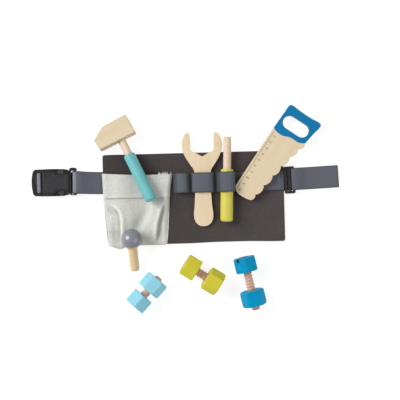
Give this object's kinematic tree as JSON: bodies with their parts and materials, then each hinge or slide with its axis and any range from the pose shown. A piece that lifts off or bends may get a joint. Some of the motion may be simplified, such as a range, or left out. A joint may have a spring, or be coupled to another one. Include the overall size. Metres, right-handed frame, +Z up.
{
  "type": "toy tool belt",
  "caption": "Child's waist belt with an apron, pocket and webbing loops, side-release buckle, wooden toy hammer, wrench, screwdriver, saw, nail, and bolts with nuts.",
  "frame": {"origin": "under the middle of the whole set, on the surface it lies on", "axes": "+X along the belt towards the plain end of the strap, +Y from the apron's foot to its top edge, +Z up"},
  "size_m": [0.4404, 0.2916, 0.0404],
  "materials": {
    "canvas_dark": "dark brown-grey woven cloth",
    "lining": "dark lining cloth",
    "canvas_light": "light grey-green canvas",
    "webbing": "slate woven webbing",
    "black_plastic": "fine matt moulding",
    "wood": "pale sanded wood",
    "teal_paint": "teal painted wood",
    "plywood": "pale sanded plywood",
    "yellow_paint": "yellow-green painted wood",
    "lilac_paint": "grey-lilac painted wood, satin",
    "bolt_light_blue_paint": "painted wood, satin",
    "beech_thread": "pale brown wood, cut thread",
    "bolt_yellow_paint": "painted wood, satin",
    "bolt_blue_paint": "painted wood, satin"
  },
  "bodies": {
    "belt": {"apron_front": "canvas_dark", "apron_lining": "lining", "pocket": "canvas_light", "webbing_loops": "webbing", "strap_left": "webbing", "strap_right": "webbing", "strap_back": "webbing", "buckle_prong": "black_plastic"},
    "socket": {"buckle_socket": "black_plastic"},
    "arm_upper": {"latch_arm_upper": "black_plastic"},
    "arm_lower": {"latch_arm_lower": "black_plastic"},
    "strap_slider": {"slider": "black_plastic"},
    "hammer": {"hammer_head": "wood", "hammer_dowel": "wood", "hammer_grip": "teal_paint"},
    "wrench_tool": {"wrench": "plywood"},
    "screwdriver": {"screwdriver_blade": "wood", "screwdriver_handle": "yellow_paint"},
    "saw_tool": {"saw": "plywood"},
    "nail": {"nail_shank": "wood", "nail_head": "lilac_paint"},
    "bolt_light_blue": {"bolt_light_blue_head": "bolt_light_blue_paint", "bolt_light_blue_shank": "beech_thread"},
    "bolt_light_blue_nut_body": {"bolt_light_blue_nut": "bolt_light_blue_paint"},
    "bolt_yellow": {"bolt_yellow_head": "bolt_yellow_paint", "bolt_yellow_shank": "beech_thread"},
    "bolt_yellow_nut_body": {"bolt_yellow_nut": "bolt_yellow_paint"},
    "bolt_blue": {"bolt_blue_head": "bolt_blue_paint", "bolt_blue_shank": "beech_thread"},
    "bolt_blue_nut_body": {"bolt_blue_nut": "bolt_blue_paint"}
  },
  "joints": [
    {"name": "buckle_release", "type": "slide", "parent": "belt", "child": "socket", "axis": [-1, 0, 0], "range_m": [0, 0.045], "deforming": ["strap_back", "latch_arm_upper", "latch_arm_lower"]},
    {"name": "squeeze_upper", "type": "hinge", "parent": "belt", "child": "arm_upper", "pos_m": [-0.16628, 0.05333, 0.0082], "axis": [0, 0, 1], "range_deg": [0, 12], "stiffness_Nm_per_rad": 0.05},
    {"name": "squeeze_lower", "type": "hinge", "parent": "belt", "child": "arm_lower", "pos_m": [-0.16628, 0.03433, 0.0082], "axis": [0, 0, 1], "range_deg": [-12, 0], "stiffness_Nm_per_rad": 0.05},
    {"name": "slider_adjust", "type": "slide", "parent": "belt", "child": "strap_slider", "axis": [0.9992, 0.0401, 0], "range_m": [0, 0.04], "deforming": ["strap_right"]},
    {"name": "hammer_lift", "type": "slide", "parent": "belt", "child": "hammer", "axis": [0, 0, 1], "range_m": [0, 0.12]},
    {"name": "wrench_draw", "type": "slide", "parent": "belt", "child": "wrench_tool", "axis": [0, 1, 0], "range_m": [0, 0.082]},
    {"name": "screwdriver_draw", "type": "slide", "parent": "belt", "child": "screwdriver", "axis": [0.0349, 0.998, 0.0523], "range_m": [0, 0.077]},
    {"name": "saw_lift", "type": "slide", "parent": "belt", "child": "saw_tool", "axis": [0, 0, 1], "range_m": [0, 0.12]},
    {"name": "nail_lift", "type": "slide", "parent": "belt", "child": "nail", "axis": [0, 0, 1], "range_m": [0, 0.12]},
    {"name": "light_blue_nut_turn", "type": "hinge", "parent": "belt", "child": "bolt_light_blue_nut_body", "pos_m": [-0.05061, -0.10592, 0.01643], "axis": [0.6799, 0.7291, -0.0786], "range_deg": [-540, 1800]},
    {"name": "light_blue_bolt_travel", "type": "slide", "parent": "belt", "child": "bolt_light_blue", "axis": [0.6799, 0.7291, -0.0786], "range_m": [-0.0217, 0.00665]},
    {"name": "yellow_nut_turn", "type": "hinge", "parent": "belt", "child": "bolt_yellow_nut_body", "pos_m": [0.0352, -0.10278, 0.01627], "axis": [0.8313, -0.5523, -0.0631], "range_deg": [-1080, 1440]},
    {"name": "yellow_bolt_travel", "type": "slide", "parent": "belt", "child": "bolt_yellow", "axis": [0.8313, -0.5523, -0.0631], "range_m": [-0.0174, 0.0131]},
    {"name": "blue_nut_turn", "type": "hinge", "parent": "belt", "child": "bolt_blue_nut_body", "pos_m": [0.09191, -0.12782, 0.01612], "axis": [0.2094, -0.9766, -0.0482], "range_deg": [-2160, 1440]},
    {"name": "blue_bolt_travel", "type": "slide", "parent": "belt", "child": "bolt_blue", "axis": [0.2094, -0.9766, -0.0482], "range_m": [-0.0174, 0.026]}
  ],
  "couplings": [
    {"joint": "light_blue_bolt_travel", "follows": "light_blue_nut_turn", "m_per_rad": -0.00068437},
    {"joint": "yellow_bolt_travel", "follows": "yellow_nut_turn", "m_per_rad": -0.00068437},
    {"joint": "blue_bolt_travel", "follows": "blue_nut_turn", "m_per_rad": -0.00068437}
  ]
}
